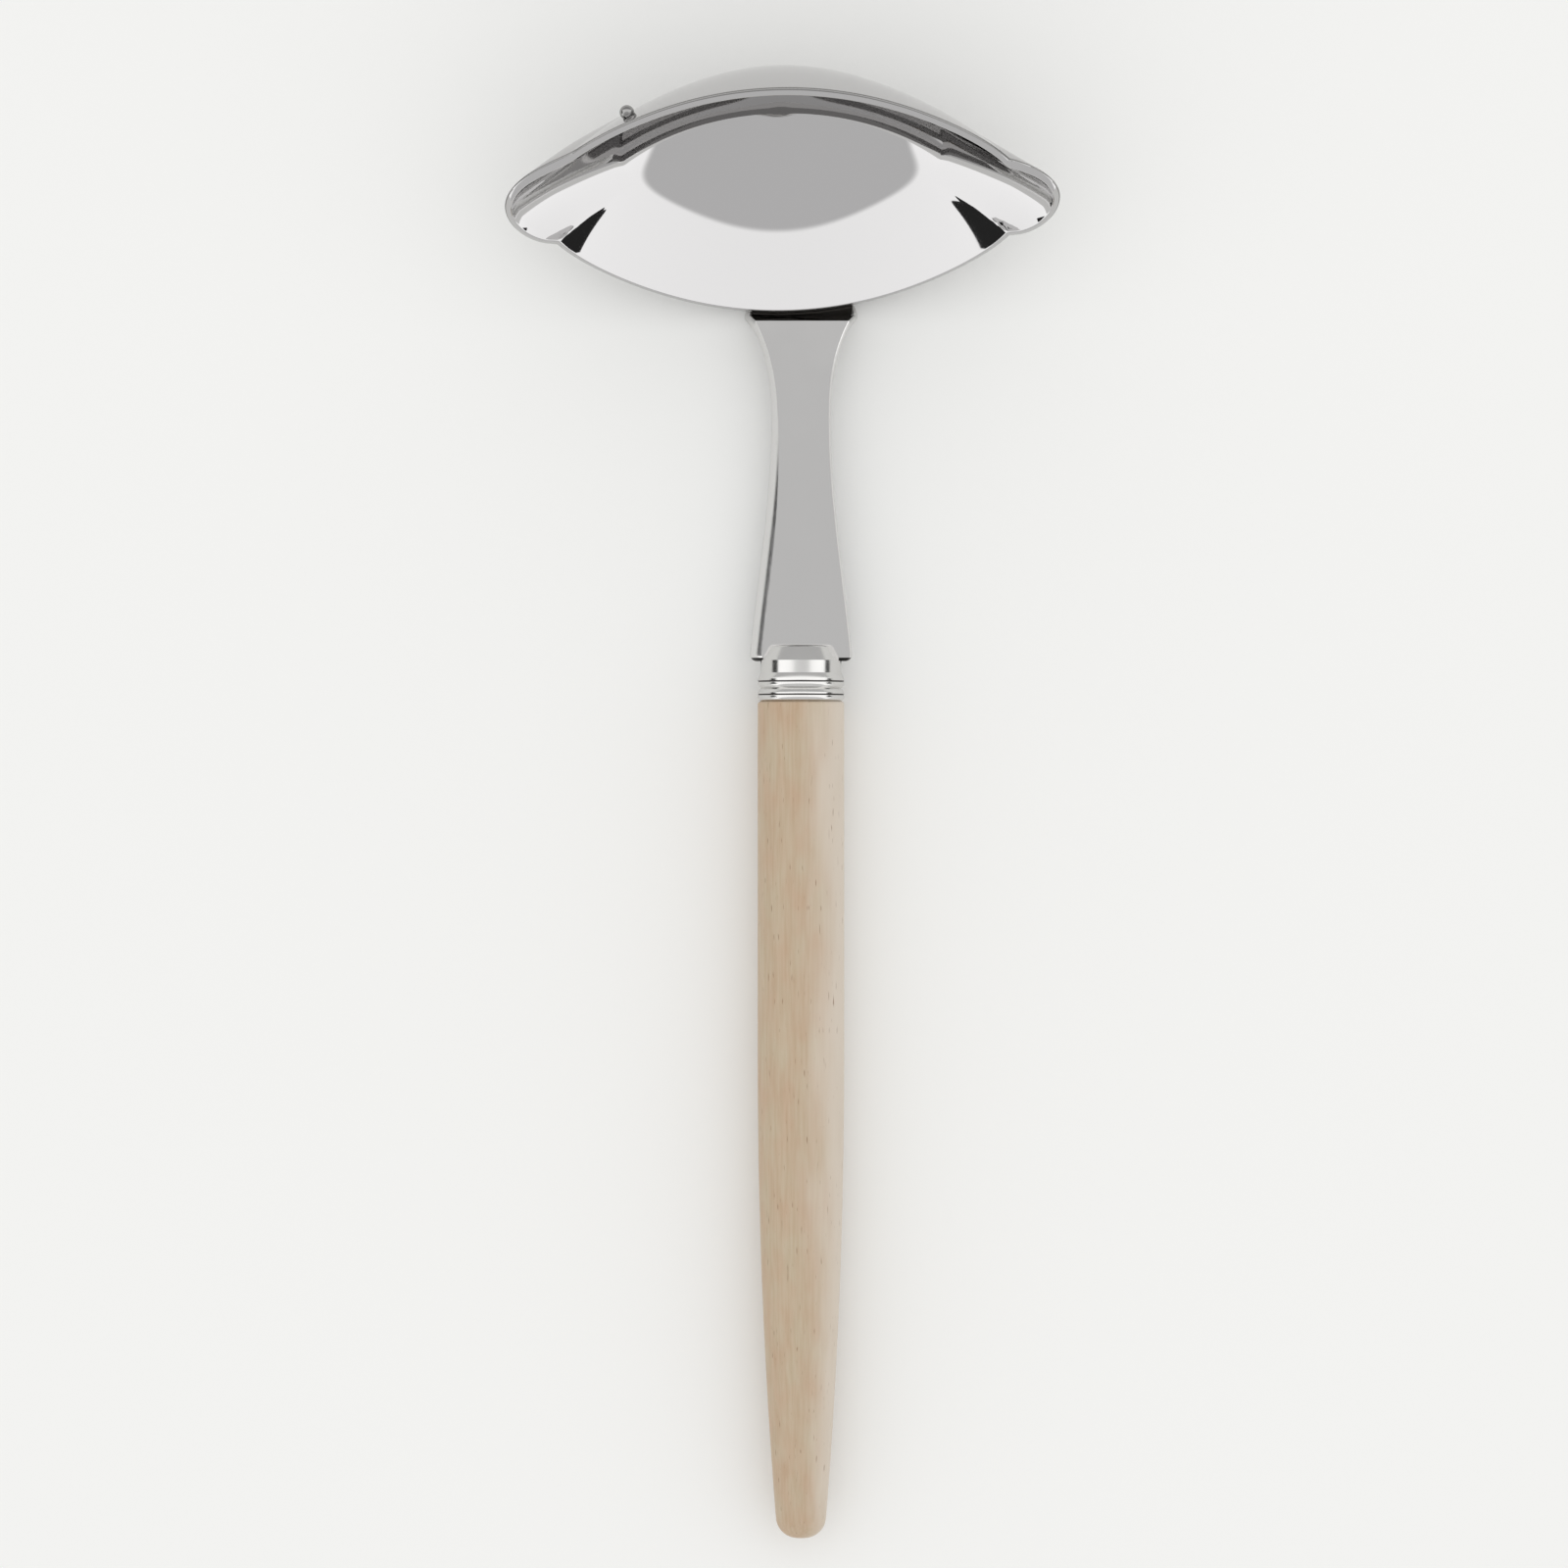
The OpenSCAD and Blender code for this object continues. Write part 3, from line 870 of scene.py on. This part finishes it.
# Matt white paper: an even pale white without gloss.
floor_paper = bpy.data.materials.new("matt_white_paper")
floor_paper.use_nodes = True
floor_shader = floor_paper.node_tree.nodes["Principled BSDF"]
floor_shader.inputs["Base Color"].default_value = linear("#f3f3f1")
floor_shader.inputs["Roughness"].default_value = 1
floor_shader.inputs["Specular IOR Level"].default_value = 0
floor_maker = bmesh.new()
bmesh.ops.create_grid(floor_maker, x_segments=1, y_segments=1, size=floor_size / 2)
floor = add_piece("floor", floor_maker, floor_paper)

# Light
# Even white light from all round. Polished steel mirrors the light tent that gives it: bright panels
# overhead and at the sides, a duller front with an arched top and a duller back, and a low dark gap at
# the left and the right.
plain_strength = 1.0
panel_strength = 1.47
side_gain = 0.22
front_strength = 0.785
back_strength = 0.58
front_top = 0.045
front_arch = 0.97
front_middle = 0.02
front_half_width = 0.56
front_flare = 0.2
front_depth = 0.3
front_squareness = 6
front_softness = 0.3
back_edge = 0.42
back_softness = 0.04
gap_offset = 0.082
gap_middle = 0.05
gap_half_width = 0.31
gap_height = 0.345
gap_slope = 0.2
gap_tip = 0.39
gap_lean = 0.25
gap_lean_change = 0.16
gap_squareness = 16
gap_softness = 0.1
gap_strength = 0.03

bpy.context.scene.view_settings.view_transform = "Standard"
room = bpy.data.worlds.new("light_tent")
bpy.context.scene.world = room
room.use_nodes = True
room_tree = room.node_tree
direction = add_node(room_tree, "ShaderNodeTexCoord").outputs["Generated"]
towards = add_node(room_tree, "ShaderNodeSeparateXYZ", {"Vector": direction}).outputs
tent = {"x": towards["X"], "y": towards["Y"], "z": towards["Z"]}
tent["mirrored"] = add_node(room_tree, "ShaderNodeLightPath").outputs["Is Glossy Ray"]

# Where a direction lies on a flat map of the sky, on which straight up is 0, 0 and the horizon is 1 away
# from it, and how far it is from the middle of the front.
map_sums = (
    ("flatten", "ADD", "z", 1),
    ("map_x", "DIVIDE", "x", "flatten"),
    ("across", "SUBTRACT", "map_x", front_middle),
    ("along", "DIVIDE", "y", "flatten"),
    ("across_squared", "MULTIPLY", "across", "across"),
    ("side_light", "MULTIPLY", "across_squared", side_gain),
    ("panels", "ADD", "side_light", panel_strength),
    ("arch", "MULTIPLY", "across_squared", front_arch),
    ("arched", "ADD", "along", "arch"),
    ("above_top", "SUBTRACT", "arched", front_top),
    ("top_share", "DIVIDE", "above_top", front_depth),
    ("from_bottom", "ADD", "top_share", 1),
    ("below_arch", "MAXIMUM", "from_bottom", 0),
    ("along_squared", "MULTIPLY", "along", "along"),
    ("flare", "MULTIPLY", "along_squared", front_flare),
    ("sideways", "ABSOLUTE", "across", 0),
    ("flared", "SUBTRACT", "sideways", "flare"),
    ("spread", "DIVIDE", "flared", front_half_width),
    ("arch_power", "POWER", "below_arch", front_squareness),
    ("spread_power", "POWER", "spread", front_squareness),
    ("front_reach", "ADD", "arch_power", "spread_power"),
)

# Where a direction meets the tent's left or right wall, as a share of the wall's distance, and how far it
# is from the middle of the gap there.
wall_sums = (
    ("wall_side", "SUBTRACT", "x", gap_offset),
    ("wall_distance", "ABSOLUTE", "wall_side", 0),
    ("wall_along", "DIVIDE", "y", "wall_distance"),
    ("wall_up", "DIVIDE", "z", "wall_distance"),
    ("lean_change", "MULTIPLY", "x", gap_lean_change),
    ("lean", "ADD", "lean_change", gap_lean),
    ("above_tip", "SUBTRACT", "wall_up", gap_tip),
    ("leaned_by", "MULTIPLY", "above_tip", "lean"),
    ("leaned_along", "ADD", "wall_along", "leaned_by"),
    ("from_middle", "SUBTRACT", "leaned_along", gap_middle),
    ("gap_along", "DIVIDE", "from_middle", gap_half_width),
    ("slope", "MULTIPLY", "wall_along", gap_slope),
    ("sloped_up", "ADD", "wall_up", "slope"),
    ("gap_up", "DIVIDE", "sloped_up", gap_height),
    ("along_power", "POWER", "gap_along", gap_squareness),
    ("up_power", "POWER", "gap_up", gap_squareness),
    ("gap_reach", "ADD", "along_power", "up_power"),
)
for name, operation, first, second in map_sums + wall_sums:
    inputs = {0: tent.get(first, first), 1: tent.get(second, second)}
    tent[name] = add_node(room_tree, "ShaderNodeMath", inputs, operation=operation).outputs["Value"]

# Shares of the front, of all before the back and of the gaps: 1 inside their edge and 0 outside it.
for name, value, edge, softness in (
    ("front", "front_reach", 1, front_softness),
    ("before_back", "along", back_edge, back_softness),
    ("gap", "gap_reach", 1, gap_softness),
):
    inputs = {
        "Value": tent[value],
        "From Min": edge - softness,
        "From Max": edge + softness,
        "To Min": 1,
        "To Max": 0,
    }
    step = add_node(room_tree, "ShaderNodeMapRange", inputs, interpolation_type="SMOOTHSTEP")
    tent[name] = step.outputs["Result"]

# Strength of the light: the panels, with the front, the back and the gaps laid over them in turn. Only
# mirrored light shows them, and all other light is plain.
for name, share, outside, within in (
    ("with_front", "front", "panels", front_strength),
    ("with_back", "before_back", back_strength, "with_front"),
    ("with_gaps", "gap", "with_back", gap_strength),
    ("strength", "mirrored", plain_strength, "with_gaps"),
):
    inputs = {"Factor": tent[share], "A": tent.get(outside, outside), "B": tent.get(within, within)}
    tent[name] = add_node(room_tree, "ShaderNodeMix", inputs).outputs["Result"]
background = room_tree.nodes["Background"]
background.inputs["Color"].default_value = linear("#ffffff")
room_tree.links.new(tent["strength"], background.inputs["Strength"])
